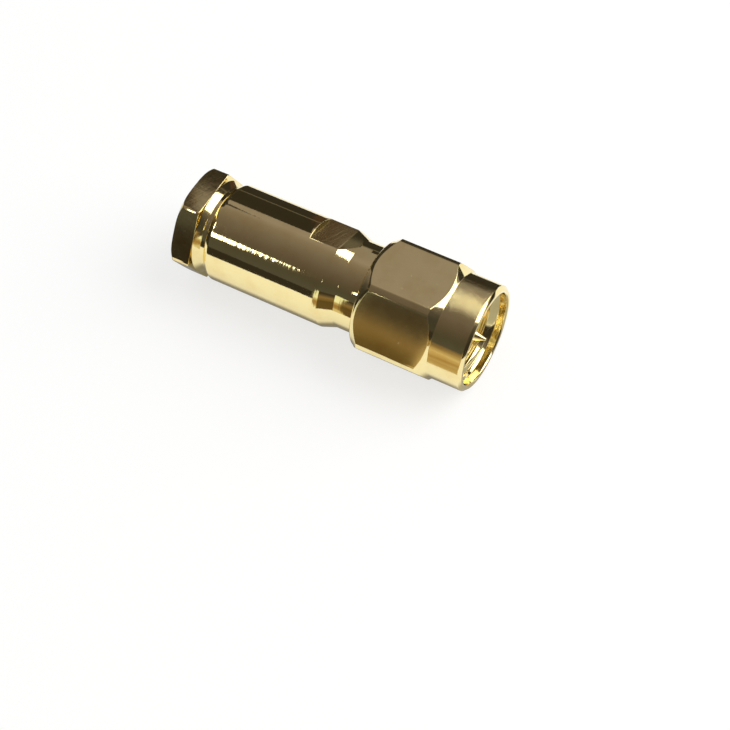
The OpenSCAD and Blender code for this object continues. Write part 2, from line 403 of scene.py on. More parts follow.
def use_group(tree, name, **inputs):
    """Places a shared group and gives its inputs values."""
    node = tree.nodes.new("ShaderNodeGroup")
    node.node_tree = shared_groups()[name]
    for key, value in inputs.items():
        key = key.replace("_", " ")
        if isinstance(value, bpy.types.NodeSocket):
            tree.links.new(value, node.inputs[key])
        else:
            node.inputs[key].default_value = value
    return node.outputs


def new_material(name):
    """A material with its shader, and the place on the piece in millimetres."""
    material = bpy.data.materials.new(name)
    material.use_nodes = True
    tree = material.node_tree
    shader = tree.nodes["Principled BSDF"]
    where = place(
        tree,
        "ShaderNodeVectorMath",
        {0: own_place(tree), "Scale": 1 / MM},
        operation="SCALE",
    ).outputs[0]
    return material, tree, shader, where


def bump(tree, height, depth_um, before=None):
    """A bump whose full height is the given depth in micrometres."""
    inputs = {"Height": height, "Strength": 1.0, "Distance": depth_um * 1e-6}
    if before is not None:
        inputs["Normal"] = before
    return place(tree, "ShaderNodeBump", inputs).outputs[0]


def gold_material(
    name, smooth, rough, rings=0.0, ring_um=0.0, frost_um=0.0, grains=9.0, mill_um=0.0,
    mill_turn=0.0, mill_lines=6.0, cross_um=0.0, stain=0.35, smooth_from=None,
    speck_um=0.0, frost_above=None,
):
    """Gold plate over brass, with the marks of the way that the face was made."""
    colours = bpy.context.scene.plug_colours
    material, tree, shader, where = new_material(name)
    tone = use_group(tree, "Plate tone", Place=where, Smooth=smooth, Rough=rough)
    colour = blend_colours(
        tree,
        calc(tree, "MULTIPLY", tone["Thin plate"], stain),
        tuple(colours.gold),
        tuple(colours.worn_gold),
    )
    normal = None
    rough = tone["Roughness"]
    if rings:
        marks = use_group(tree, "Turning marks", Place=where, Rings=rings)
        normal = bump(tree, marks["Height"], ring_um, normal)
    if mill_um:
        marks = use_group(tree, "Milling marks", Place=where, Turn=mill_turn, Lines=mill_lines)
        height = marks["Height"]
        if smooth_from is not None:
            x = axes(tree, where)[0]
            cut = remap(tree, x, smooth_from - 0.05, smooth_from + 0.05, 1.0, 0.0)
            height = calc(tree, "MULTIPLY", height, cut)
            rough = calc(tree, "MULTIPLY", rough, remap(tree, cut, 0.0, 1.0, 0.35, 1.0))
        normal = bump(tree, height, mill_um, normal)
        colour = blend_colours(
            tree,
            calc(tree, "MULTIPLY", marks["Line mask"], 0.5),
            colour,
            tuple(colours.worn_gold),
        )
    if cross_um:
        marks = use_group(tree, "Milling marks", Place=where, Turn=mill_turn + 1.2, Lines=mill_lines)
        normal = bump(tree, marks["Height"], cross_um, normal)
    if frost_um:
        frost = use_group(tree, "Frosting", Place=where, Grains=grains)
        height = frost["Height"]
        if frost_above is not None:
            z = axes(tree, where)[2]
            worn = remap(tree, z, frost_above, frost_above + 0.25, 0.0, 1.0, True)
            height = calc(tree, "MULTIPLY", height, worn)
            rough = calc(tree, "MULTIPLY", rough, remap(tree, worn, 0.0, 1.0, 1.0, 1.7))
        normal = bump(tree, height, frost_um, normal)
    if speck_um:
        cells = place(tree, "ShaderNodeTexVoronoi", {"Vector": where, "Scale": 1.7}).outputs["Distance"]
        normal = bump(tree, remap(tree, cells, 0.0, 0.07, 1.0, 0.0, True), speck_um, normal)
    tree.links.new(colour, shader.inputs["Base Color"])
    tree.links.new(rough, shader.inputs["Roughness"])
    if normal is not None:
        tree.links.new(normal, shader.inputs["Normal"])
    shader.inputs["Metallic"].default_value = 1.0
    return material


def soft_material(name, colour, other, roughness, grain, depth_um):
    """A plastic or rubber with fine mottling and grain."""
    material, tree, shader, where = new_material(name)
    cloud = noise(tree, where, 1.1, 3.0)
    tree.links.new(
        blend_colours(tree, remap(tree, cloud, 0.35, 0.65, 0.0, 1.0), colour, other),
        shader.inputs["Base Color"],
    )
    fine = noise(tree, where, grain, 3.0, 0.6)
    tree.links.new(
        remap(tree, fine, 0.3, 0.7, roughness - 0.08, roughness + 0.08),
        shader.inputs["Roughness"],
    )
    tree.links.new(bump(tree, fine, depth_um), shader.inputs["Normal"])
    return material


# ---------------------------------------------------------------- mesh helpers


def soft_min(one, other, width):
    """The lesser of two numbers, rounded off where they are within width of each other."""
    share = max(0.0, min(1.0, 0.5 + 0.5 * (other - one) / width))
    return other + (one - other) * share - width * share * (1 - share)


def off_flat(angle, first=0.0, sides=6):
    """Angle from the middle of the nearest flat of a bar."""
    step = FULL_TURN / sides
    return (angle - first + step / 2) % step - step / 2


def hex_radius(angle, across_mm, round_mm, first=0.0):
    """Radius of a hexagon's outline at an angle, no more than a round bar's radius."""
    off = abs(off_flat(angle, first))
    flat = across_mm / 2 / math.cos(off)
    next_flat = across_mm / 2 / math.cos(SIXTH - off)
    return soft_min(soft_min(flat, next_flat, 0.06), round_mm, 0.03)


def fine_angles(corners, step_deg=1.5, near_deg=(0.3, 0.7, 1.3)):
    """Angles around a piece in degrees, closer together at its corners."""
    wanted = [a % 360 for a in corners]
    for corner in corners:
        wanted += [(corner + side * off) % 360 for off in near_deg for side in (-1, 1)]
    kept = sorted(wanted)
    for k in range(round(360 / step_deg)):
        angle = k * step_deg
        if all(abs((angle - w + 180) % 360 - 180) > step_deg * 0.5 for w in wanted):
            kept.append(angle)
    return [math.radians(a) for a in sorted(kept)]


def rounded_end(x_end, r_end, x_full, r_full, r_from):
    """Points of a quarter ellipse, from the radius r_from down to the end of a nut."""
    start = math.asin(min(1.0, max(0.0, (r_from - r_end) / (r_full - r_end))))
    points = []
    for k in range(ROUNDING_STEPS + 1):
        a = start * (1 - k / ROUNDING_STEPS)
        points.append((x_full + (x_end - x_full) * math.cos(a), r_end + (r_full - r_end) * math.sin(a)))
    return points


def softened(section, edge_mm):
    """A closed section of (x, r, finish, rows, round) with its corners rounded.

    finish and rows belong to the strip that starts at the point. Rows split it evenly."""
    out = []
    count = len(section)
    for k, (x, r, finish, rows, is_round) in enumerate(section):
        here = Vector((x, r))
        before = Vector(section[k - 1][:2]) - here
        after = Vector(section[(k + 1) % count][:2]) - here
        cut = min(edge_mm if is_round else 0.0, before.length * 0.4, after.length * 0.4)
        if is_round:
            start = here + (before.normalized() if before.length else before) * cut
            end = here + (after.normalized() if after.length else after) * cut
            for s in range(CORNER_STEPS + 1):
                t = s / CORNER_STEPS
                p = start * (1 - t) ** 2 + here * 2 * t * (1 - t) + end * t**2
                out.append((p.x, p.y, section[k - 1][2] if s == 0 else finish, 1))
            out[-1] = (end.x, end.y, finish, rows)
        else:
            out.append((x, r, finish, rows))
    full = []
    for k, (x, r, finish, rows) in enumerate(out):
        nx, nr = out[(k + 1) % len(out)][:2]
        for row in range(rows):
            t = row / rows
            full.append((x + (nx - x) * t, r + (nr - r) * t, finish, row if rows > 4 else -1))
    return full


def key(x, r, finish=0, rows=1, is_round=True):
    """One corner of a section, and the strip that starts at it."""
    return (x, r, finish, rows, is_round)


def sharp(x, r, finish=0):
    """A corner of a section that isn't rounded."""
    return key(x, r, finish, 1, False)


def turned_mesh(name, section_at, angles):
    """A closed solid whose section changes with the angle around the axis.

    The faces carry the finish of their strip as a material index. Flats are shaded flat, and their
    narrow corner faces smooth."""
    edge_mm = bpy.context.scene.plug_sizes.edge / MM
    sections = [softened(section_at(a), edge_mm) for a in angles]
    count = len(sections[0])
    if any(len(s) != count for s in sections):
        raise RuntimeError(f"{name}: its sections have different numbers of points")
    mesh = bpy.data.meshes.new(name)
    bm = bmesh.new()
    zone = bm.verts.layers.float.new("thread_zone")
    rings = []
    for angle, section in zip(angles, sections):
        ring = []
        for x, r, _, row in section:
            vert = bm.verts.new((x * MM, r * MM * math.sin(angle), r * MM * math.cos(angle)))
            vert[zone] = 1.0 if row >= 0 else 0.0
            ring.append(vert)
        rings.append(ring)
    for k, ring in enumerate(rings):
        other = rings[(k + 1) % len(rings)]
        for p in range(count):
            q = (p + 1) % count
            face = bm.faces.new((ring[p], ring[q], other[q], other[p]))
            face.material_index = sections[k][p][2]
            width = (angles[(k + 1) % len(angles)] - angles[k]) % FULL_TURN
            face.smooth = width < CORNER_FACE or sections[k][p][2] != FLAT
    bmesh.ops.remove_doubles(bm, verts=bm.verts, dist=2e-7)
    bmesh.ops.dissolve_degenerate(bm, edges=bm.edges, dist=1e-7)
    bmesh.ops.recalc_face_normals(bm, faces=bm.faces)
    bm.to_mesh(mesh)
    bm.free()
    return mesh


def as_piece(mesh, materials):
    """An object of that mesh with its name and materials, at the origin."""
    piece = bpy.data.objects.new(mesh.name, mesh)
    bpy.context.scene.collection.objects.link(piece)
    for material in materials:
        mesh.materials.append(material)
    return piece


def corner_pairs(sides, first, apart):
    """Angles in degrees on both sides of a first angle and of its repeats around the axis."""
    return [first + 360 / sides * k + side * apart for k in range(sides) for side in (-1, 1)]


def shell(name, section_at, corners, materials):
    """A turned piece with flats, which has corners at the given angles in degrees."""
    return as_piece(turned_mesh(name, section_at, fine_angles(corners)), materials)


def finish_mesh(piece):
    """Weights the normals by face area, and keeps what the modifiers make as a plain mesh."""
    weighted = piece.modifiers.new("Weighted normals", "WEIGHTED_NORMAL")
    weighted.keep_sharp = True
    weighted.weight = 80
    bpy.context.view_layer.update()
    graph = bpy.context.evaluated_depsgraph_get()
    solid = bpy.data.meshes.new_from_object(
        piece.evaluated_get(graph), preserve_all_data_layers=True, depsgraph=graph
    )
    old = piece.data
    piece.modifiers.clear()
    piece.data = solid
    name = old.name
    bpy.data.meshes.remove(old)
    solid.name = name
    return piece


# ---------------------------------------------------------------- screw threads


def thread_tree():
    """Geometry nodes that push the thread zone of a turned mesh out to a helical ridge."""
    name = "Screw thread"
    if name in bpy.data.node_groups:
        return bpy.data.node_groups[name]
    tree = bpy.data.node_groups.new(name, "GeometryNodeTree")
    face = tree.interface
    face.new_socket("Geometry", in_out="INPUT", socket_type="NodeSocketGeometry")
    for key_name, default in (
        ("Pitch", 0.00075),
        ("Tip radius", 0.003),
        ("Tip width", 0.00009),
        ("Flank slope", 1.732),
        ("Start", -0.0173),
        ("End", -0.0129),
        ("End radius", 1.0),
        ("Blend", 0.00004),
    ):
        socket = face.new_socket(key_name, in_out="INPUT", socket_type="NodeSocketFloat")
        socket.default_value = default
    face.new_socket("Material", in_out="INPUT", socket_type="NodeSocketMaterial")
    face.new_socket("Geometry", in_out="OUTPUT", socket_type="NodeSocketGeometry")
    given = tree.nodes.new("NodeGroupInput").outputs
    made = tree.nodes.new("NodeGroupOutput").inputs
    spot = tree.nodes.new("GeometryNodeInputPosition").outputs[0]
    x, y, z = axes(tree, spot)
    radius = calc(
        tree,
        "SQRT",
        calc(tree, "ADD", calc(tree, "MULTIPLY", y, y), calc(tree, "MULTIPLY", z, z)),
    )
    turn = calc(tree, "DIVIDE", calc(tree, "ARCTAN2", z, y), FULL_TURN)
    phase = calc(tree, "FRACT", calc(tree, "SUBTRACT", calc(tree, "DIVIDE", x, given["Pitch"]), turn))
    apart = calc(
        tree,
        "MULTIPLY",
        calc(tree, "ABSOLUTE", calc(tree, "SUBTRACT", phase, 0.5)),
        given["Pitch"],
    )
    past = calc(
        tree,
        "MAXIMUM",
        calc(tree, "SUBTRACT", apart, calc(tree, "DIVIDE", given["Tip width"], 2.0)),
        0.0,
    )
    ridge = calc(
        tree,
        "SUBTRACT",
        given["Tip radius"],
        calc(tree, "MULTIPLY", past, given["Flank slope"]),
    )
    from_end = calc(
        tree,
        "MINIMUM",
        calc(tree, "ABSOLUTE", calc(tree, "SUBTRACT", x, given["Start"])),
        calc(tree, "ABSOLUTE", calc(tree, "SUBTRACT", x, given["End"])),
    )
    limit = calc(tree, "ADD", given["End radius"], from_end)
    held = calc(tree, "MINIMUM", ridge, limit)
    wanted = calc(tree, "SMOOTH_MAX", radius, held, given["Blend"])
    wanted = calc(tree, "MAXIMUM", wanted, radius)
    share = calc(tree, "DIVIDE", wanted, radius)
    moved = place(
        tree,
        "ShaderNodeCombineXYZ",
        {0: x, 1: calc(tree, "MULTIPLY", y, share), 2: calc(tree, "MULTIPLY", z, share)},
    ).outputs[0]
    zone = place(
        tree, "GeometryNodeInputNamedAttribute", {"Name": "thread_zone"}, data_type="FLOAT"
    ).outputs["Attribute"]
    inside = place(
        tree, "FunctionNodeCompare", {0: zone, 1: 0.5}, data_type="FLOAT", operation="GREATER_THAN"
    ).outputs[0]
    cut = place(
        tree,
        "GeometryNodeSetPosition",
        {"Geometry": given["Geometry"], "Selection": inside, "Position": moved},
    ).outputs[0]
    whole = place(tree, "GeometryNodeRealizeInstances", {"Geometry": cut}).outputs[0]
    last = place(
        tree,
        "GeometryNodeSetMaterial",
        {"Geometry": whole, "Selection": inside, "Material": given["Material"]},
    ).outputs[0]
    tree.links.new(last, made["Geometry"])
    return tree


def add_thread(piece, material, **values):
    """Gives a piece the screw thread, with each input set by its socket's identifier."""
    tree = thread_tree()
    modifier = piece.modifiers.new("Screw thread", "NODES")
    modifier.node_group = tree
    named = {
        item.name: item.identifier
        for item in tree.interface.items_tree
        if item.item_type == "SOCKET" and item.in_out == "INPUT"
    }
    for key_name, value in values.items():
        modifier[named[key_name.replace("_", " ")]] = value
    modifier[named["Material"]] = material


# ---------------------------------------------------------------- sections of the pieces

# Sizes of the coupling nut in millimetres: radii, and places along X
NUT_ROUND_R = 4.489
RIM_BEVEL = 0.23
REAR_LIP, REAR_RIM_R, REAR_BEVEL_R = 0.22, 3.55, 3.905
REAR_BEVEL, REAR_BEVEL_TOP_R = 0.9, 4.49
TAIL_END, TAIL_BORE_R = -5.05, 3.26
HUB_BORE_R = 2.92
RING_GROOVE = (-4.14, -3.56)
RING_GROOVE_R = 3.36
CHAMBER_END, CHAMBER_R = -3.0, 3.25
FRONT_BORE, MOUTH_BEVEL = 0.6, 0.1
COLLAR_R = 3.84
COLLAR_REAR = -0.15
MOUTH_R = 3.33
NUT_BORE_R = 2.85
NUT_THREAD_END = -1.9
# The clamp nut
CLAMP_GAP, SHOULDER = 0.43, 0.42
CLAMP_REAR_R, CLAMP_REAR_ROUND = 3.4, 0.55
SHANK_R, SHANK_BEVEL, SHANK_THREAD_REAR = 2.545, 0.25, -17.62
CLAMP_NECK_R, MOUTH_END = 3.05, -17.77
CABLE_R, CABLE_BEVEL = 1.5, 0.25
CLAMP_CORNER_R = 3.5 / math.cos(math.pi / 6)
CLAMP_TURN = math.radians(2)
SHOULDER_R = 3.47
# The body
SLEEVE_R, SLEEVE_BEVEL = 2.285, 0.06
GASKET_SEAT, GASKET_SEAT_R = -2.0, 2.205
HUB_FRONT, HUB_REAR, HUB_R = -2.95, -5.15, 2.85
BODY_GROOVE = (-3.6, -4.1)
BODY_GROOVE_R = 2.47
BARREL_BEVEL, BARREL_END_R = -17.5, 3.385
CLAMP_THREAD = (-17.3, -12.9)
CLAMP_BORE_R, CLAMP_MOUTH_R = 2.595, 3.15
CHAMBER_FRONT, INSULATOR_BORE_R = -8.01, 2.065
SPANNER_TURN = math.radians(23)
BODY_R = 3.575
NECK_R = 3.19
CONE_FRONT, CONE_REAR = -7.7, -8.76
SPANNER_REAR = -10.9


def thread_rows(length_mm, pitch_mm):
    """Rows of mesh for a threaded stretch."""
    return max(5, round(length_mm / pitch_mm * ROWS_A_PITCH))


def coupling_nut_section(angle):
    """The coupling nut's section: collar, cone, flat and bevelled rear, then its bore."""
    sizes = bpy.context.scene.plug_sizes
    r_flat = hex_radius(angle, sizes.nut_across / MM, NUT_ROUND_R)
    cone_x = COLLAR_REAR - (r_flat - COLLAR_R)
    slope = (REAR_BEVEL - REAR_LIP) / (REAR_BEVEL_TOP_R - REAR_BEVEL_R)
    bevel_x = NUT_REAR + REAR_LIP + (r_flat - REAR_BEVEL_R) * slope
    rear = rounded_end(NUT_REAR, REAR_RIM_R, NUT_REAR + REAR_LIP, REAR_BEVEL_R, REAR_BEVEL_R)
    pitch = sizes.interface_pitch / MM
    bore_x = NUT_FRONT - FRONT_BORE
    root = sizes.interface_major / MM / 2 - NUT_BORE_R  # the cone that the thread cuts into
    lead = MOUTH_R - NUT_BORE_R
    outside = [
        key(NUT_FRONT, COLLAR_R - RIM_BEVEL),
        key(NUT_FRONT - RIM_BEVEL, COLLAR_R, COLLAR),
        key(COLLAR_REAR, COLLAR_R),
        key(cone_x, r_flat, FLAT),
        key(bevel_x, r_flat),
        *[sharp(*point) for point in rear[:-1]],
        key(NUT_REAR, rear[-1][1]),
    ]
    inside = [
        key(NUT_REAR, TAIL_BORE_R, INSIDE),
        sharp(TAIL_END, TAIL_BORE_R, INSIDE),
        key(TAIL_END, HUB_BORE_R, INSIDE),
        sharp(RING_GROOVE[0], HUB_BORE_R, INSIDE),
        sharp(RING_GROOVE[0], RING_GROOVE_R, INSIDE),
        sharp(RING_GROOVE[1], RING_GROOVE_R, INSIDE),
        sharp(RING_GROOVE[1], HUB_BORE_R, INSIDE),
        sharp(CHAMBER_END, HUB_BORE_R, INSIDE),
        sharp(CHAMBER_END, CHAMBER_R, INSIDE),
        sharp(NUT_THREAD_END, CHAMBER_R, INSIDE),
        key(
            NUT_THREAD_END,
            NUT_BORE_R,
            INSIDE,
            thread_rows(bore_x - lead - NUT_THREAD_END, pitch),
            False,
        ),
        key(bore_x - lead, NUT_BORE_R, INSIDE, thread_rows(root, pitch / 2), False),
        sharp(bore_x - lead + root, NUT_BORE_R + root, INSIDE),
        key(bore_x, MOUTH_R, INSIDE),
        key(NUT_FRONT - MOUTH_BEVEL, MOUTH_R),
        key(NUT_FRONT, MOUTH_R + MOUTH_BEVEL),
    ]
    return outside + inside


def body_section(angle):
    """The body's section: sleeve, hub, neck, cone, barrel with its spanner flats, and its bore."""
    sizes = bpy.context.scene.plug_sizes
    off = off_flat(angle, SPANNER_TURN, 2)
    flat = sizes.spanner_across / MM / 2 / math.cos(off) if abs(off) < 1.2 else 99.0
    r_flat = soft_min(flat, BODY_R, 0.012)
    share = (r_flat - NECK_R) / (BODY_R - NECK_R)
    cone_x = CONE_FRONT + (CONE_REAR - CONE_FRONT) * share
    is_flat = FLAT if flat < BODY_R - 0.002 else TURNED
    thread_length = CLAMP_THREAD[1] - CLAMP_THREAD[0]
    pitch = sizes.clamp_pitch / MM
    outside = [
        key(0.0, SLEEVE_R - SLEEVE_BEVEL),
        key(-SLEEVE_BEVEL, SLEEVE_R),
        sharp(GASKET_SEAT, SLEEVE_R),
        sharp(HUB_FRONT, GASKET_SEAT_R),
        key(HUB_FRONT, HUB_R),
        sharp(BODY_GROOVE[0], HUB_R),
        sharp(BODY_GROOVE[0], BODY_GROOVE_R),
        sharp(BODY_GROOVE[1], BODY_GROOVE_R),
        sharp(BODY_GROOVE[1], HUB_R),
        sharp(HUB_REAR, HUB_R),
        key(HUB_REAR, NECK_R),
        key(CONE_FRONT, NECK_R),
        key(cone_x, r_flat, is_flat),
        sharp(SPANNER_REAR, r_flat),
        key(SPANNER_REAR - 0.2 * (BODY_R - r_flat), BODY_R),
        sharp(SPANNER_REAR - 0.25, BODY_R),
        sharp(BARREL_BEVEL + 0.12, BODY_R),
        key(BARREL_BEVEL, BODY_R),
        key(BODY_REAR, BARREL_END_R),
    ]
    inside = [
        key(BODY_REAR, CLAMP_MOUTH_R + 0.1, INSIDE),
        sharp(MOUTH_END, CLAMP_MOUTH_R, INSIDE),
        sharp(CLAMP_THREAD[0], CLAMP_MOUTH_R, INSIDE),
        key(CLAMP_THREAD[0], CLAMP_BORE_R, INSIDE, thread_rows(thread_length, pitch), False),
        sharp(CLAMP_THREAD[1], CLAMP_BORE_R, INSIDE),
        sharp(CLAMP_THREAD[1], SHANK_R, INSIDE),
        sharp(CHAMBER_FRONT, SHANK_R, INSIDE),
        sharp(CHAMBER_FRONT + 0.1, INSULATOR_BORE_R, INSIDE),
        key(0.0, INSULATOR_BORE_R),
    ]
    return outside + inside


def clamp_nut_section(angle):
    """The clamp nut's section: threaded shank, neck, hexagonal head and cable bore."""
    sizes = bpy.context.scene.plug_sizes
    r_flat = hex_radius(angle, sizes.clamp_across / MM, CLAMP_CORNER_R - 0.035, CLAMP_TURN)
    face_x = BODY_REAR - CLAMP_GAP
    hexagon_x = face_x - SHOULDER
    rear = rounded_end(CLAMP_REAR, CLAMP_REAR_R, CLAMP_REAR + CLAMP_REAR_ROUND, CLAMP_CORNER_R, r_flat)
    pitch = sizes.clamp_pitch / MM
    outside = [
        key(CLAMP_FRONT, SHANK_R - SHANK_BEVEL),
        key(CLAMP_FRONT - SHANK_BEVEL, SHANK_R, INSIDE, thread_rows(4.07, pitch), False),
        sharp(SHANK_THREAD_REAR, SHANK_R, INSIDE),
        sharp(MOUTH_END, SHANK_R, INSIDE),
        key(MOUTH_END, CLAMP_NECK_R),
        key(face_x, CLAMP_NECK_R),
        key(hexagon_x, SHOULDER_R),
        key(hexagon_x, r_flat, FLAT),
        *[sharp(*point) for point in rear[:-1]],
        key(CLAMP_REAR, rear[-1][1]),
    ]
    inside = [
        key(CLAMP_REAR, CABLE_R + CABLE_BEVEL, INSIDE),
        key(CLAMP_REAR + CABLE_BEVEL, CABLE_R, INSIDE),
        key(CLAMP_FRONT, CABLE_R, INSIDE),
    ]
    return outside + inside


# ---------------------------------------------------------------- finishes


def finishes():
    """The materials of the metal pieces, made once."""
    if "Turned barrel" not in bpy.data.materials:
        gold_material("Turned barrel", 0.05, 0.08, rings=2.6, ring_um=8.0, frost_um=0.3)
        gold_material(
            "Milled spanner flat", 0.18, 0.27, mill_um=16.0, mill_turn=0.25, mill_lines=6.0,
            smooth_from=CONE_REAR,
        )
        gold_material("Turned nut", 0.06, 0.12, rings=4.0, ring_um=3.0, frost_um=0.6)
        gold_material("Frosted collar", 0.08, 0.13, frost_um=24.0, grains=12.0, frost_above=3.45)
        gold_material("Satin nut flat", 0.14, 0.2, frost_um=1.6, grains=14.0, speck_um=12.0)
        gold_material("Clamp nut edge", 0.06, 0.12, rings=4.0, ring_um=3.0, frost_um=0.5)
        gold_material(
            "Milled clamp flat", 0.08, 0.15, mill_um=2.5, mill_turn=0.5, cross_um=1.8, stain=0.9
        )
        gold_material("Cut thread", 0.08, 0.14, rings=9.0, ring_um=1.0)
        gold_material("Polished contact", 0.06, 0.12, rings=8.0, ring_um=0.8)
        gold_material("Turned clamp part", 0.12, 0.22, rings=6.0, ring_um=1.5)
    return bpy.data.materials


def dress_node(name, material):
    """Gives a carried-over CAD node its finish."""
    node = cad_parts[name]
    node.data.materials.clear()
    node.data.materials.append(material)


class PLUG_OT_coupling_nut(bpy.types.Operator):
    """Builds the coupling nut with its hexagon, collar and quarter-inch thread"""

    bl_idname = "plug.coupling_nut"
    bl_label = "Coupling nut"

    def execute(self, context):
        sizes, looks = context.scene.plug_sizes, finishes()
        ridge = math.degrees(math.acos(sizes.nut_across / MM / 2 / NUT_ROUND_R))
        turned = looks["Turned nut"]
        piece = shell(
            "coupling_nut_shell",
            coupling_nut_section,
            corner_pairs(6, 0, ridge),
            [turned, looks["Satin nut flat"], turned, looks["Frosted collar"]],
        )
        add_thread(
            piece,
            looks["Cut thread"],
            Pitch=sizes.interface_pitch,
            Tip_radius=sizes.interface_major / 2,
            Tip_width=sizes.interface_pitch / 8,
            Start=NUT_THREAD_END * MM,
            End=NUT_FRONT * MM,
            End_radius=1.0,
        )
        finish_mesh(piece)
        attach(piece, "coupling_nut")
        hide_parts("coupling_nut")
        return {"FINISHED"}


class PLUG_OT_body(bpy.types.Operator):
    """Builds the turned body with its spanner flats and clamp thread"""

    bl_idname = "plug.body"
    bl_label = "Body"

    def execute(self, context):
        sizes, looks = context.scene.plug_sizes, finishes()
        edge = math.degrees(math.acos(sizes.spanner_across / MM / 2 / BODY_R))
        turn = math.degrees(SPANNER_TURN)
        piece = shell(
            "body_shell",
            body_section,
            corner_pairs(2, turn, edge),
            [looks["Turned barrel"], looks["Milled spanner flat"], looks["Turned clamp part"]],
        )
        add_thread(
            piece,
            looks["Cut thread"],
            Pitch=sizes.clamp_pitch,
            Tip_radius=sizes.clamp_major / 2,
            Tip_width=sizes.clamp_pitch / 8,
            Start=CLAMP_THREAD[0] * MM,
            End=CLAMP_THREAD[1] * MM,
            End_radius=1.0,
        )
        finish_mesh(piece)
        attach(piece, "plug_body")
        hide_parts("connector_body")
        return {"FINISHED"}


class PLUG_OT_clamp_nut(bpy.types.Operator):
    """Builds the clamp nut with its milled head and threaded shank"""

    bl_idname = "plug.clamp_nut"
    bl_label = "Clamp nut"

    def execute(self, context):
        sizes, looks = context.scene.plug_sizes, finishes()
        turn = math.degrees(CLAMP_TURN)
        piece = shell(
            "clamp_nut_shell",
            clamp_nut_section,
            corner_pairs(6, turn + 30, 1),
            [looks["Clamp nut edge"], looks["Milled clamp flat"], looks["Turned clamp part"]],
        )
        add_thread(
            piece,
            looks["Cut thread"],
            Pitch=sizes.clamp_pitch,
            Tip_radius=sizes.clamp_major / 2 - 0.00005,
            Tip_width=sizes.clamp_pitch / 12,
            Start=SHANK_THREAD_REAR * MM,
            End=(CLAMP_FRONT - SHANK_BEVEL) * MM,
            End_radius=SHANK_R * MM,
        )
        finish_mesh(piece)
        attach(piece, "clamp_nut")
        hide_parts("clamp_nut")
        return {"FINISHED"}


class PLUG_OT_inner_parts(bpy.types.Operator):
    """Finishes the pin, insulators, gaskets, snap ring and loose clamp parts"""

    bl_idname = "plug.inner_parts"
    bl_label = "Inner parts"

    def execute(self, context):
        colours, looks = context.scene.plug_colours, finishes()
        white = tuple(colours.insulator)
        cream = tuple(c * 0.9 for c in white)
        insulator = soft_material("White insulator", white, cream, 0.45, 7.0, 1.0)
        seal = tuple(colours.seal)
        gasket = soft_material("Silicone gasket", seal, tuple(c * 0.7 for c in seal), 0.5, 9.0, 1.5)
        dark = tuple(colours.rubber)
        rubber = soft_material("Black rubber", dark, tuple(c * 1.8 for c in dark), 0.6, 8.0, 2.0)
        nickel = gold_material("Plain washer", 0.15, 0.3, rings=6.0, ring_um=1.0)
        shade = nickel.node_tree
        mixed = blend_colours(
            shade,
            noise(shade, shade.nodes["Texture Coordinate"].outputs["Object"], 900.0),
            tuple(colours.nickel),
            tuple(c * 0.85 for c in colours.nickel),
        )
        shade.links.new(mixed, shade.nodes["Principled BSDF"].inputs["Base Color"])
        for name, material in (
            ("centre_pin", looks["Polished contact"]),
            ("snap_ring", looks["Turned clamp part"]),
            ("braid_clamp", looks["Turned clamp part"]),
            ("clamp_washer", nickel),
            ("front_insulator", insulator),
            ("rear_insulator", insulator),
            ("interface_gasket", gasket),
            ("clamp_gasket", rubber),
        ):
            dress_node(name, material)
        return {"FINISHED"}


# ---------------------------------------------------------------- studio

CAMERA_PLACE = (0.03079, -0.06302, 0.09954)  # metres
CAMERA_RIGHT = (0.8777, 0.4784, -0.0294)  # the picture's left-to-right direction
CAMERA_DOWN = (0.3825, -0.7362, -0.5583)
CAMERA_AHEAD = (-0.2887, 0.4787, -0.8291)
CAMERA_LENS = 88.767  # millimetres, on a sensor 36 mm wide

WINDOW = {"azimuth": 33, "elevation": 42, "wide": 52, "high": 56, "far": 0.5}
OVERHEAD = {"azimuth": 76, "elevation": 70, "wide": 16, "high": 12, "far": 0.5}
STRIP = {"azimuth": -126, "elevation": 33, "wide": 14, "high": 8, "far": 0.5}
# Small glowing bars, near enough that one corner alone mirrors each: ends and radius
GLINTS = {
    "studio_clamp_glint": ((-0.0256, -0.0066, 0.0103), (-0.0222, -0.0066, 0.0103), 0.0016),
    "studio_nut_glint": ((-0.0085, -0.0108, 0.0089), (-0.0078, -0.0108, 0.0089), 0.0005),
}

# A dark skyline behind the plug: where each part of it starts and ends along X, and its top
SKYLINE_Y = 0.015
SKYLINE = (
    (-0.06, -0.0314, 0.041),
    (-0.0314, -0.0166, 0.023),
    (-0.0166, -0.0135, 0.014),
    (-0.0135, -0.0106, 0.0062),
    (-0.0106, 0.0005, 0.0094),
)
# Glowing bars beside the plug that paint a second gold plug as the metal mirrors it, with painted light
# and shade: the two ends and the radius of each, in metres
PAINTED_REFLECTION_BARS = {
    "studio_gold_reflector": ((-0.0115, -0.0122, 0.0001), (0.016, -0.0182, 0.0001), 0.0042),
    "studio_low_reflector": ((-0.0042, -0.0098, -0.0031), (0.0015, -0.0098, -0.0031), 0.001),
}
# Curved dark cards around the plug: height, radius, first and last angle in degrees
CARDS = {"studio_near_card": (0.009, 0.034, -180, 0), "studio_far_card": (0.02, 0.1, 0, 180)}
TENT_RADIUS = 1.2
FLOOR_REACH = 1.5


def direction(azimuth, elevation):
    """A unit vector from angles in degrees: azimuth from +X round to +Y, and elevation."""
    a, e = math.radians(azimuth), math.radians(elevation)
    return Vector((math.cos(a) * math.cos(e), math.sin(a) * math.cos(e), math.sin(e)))


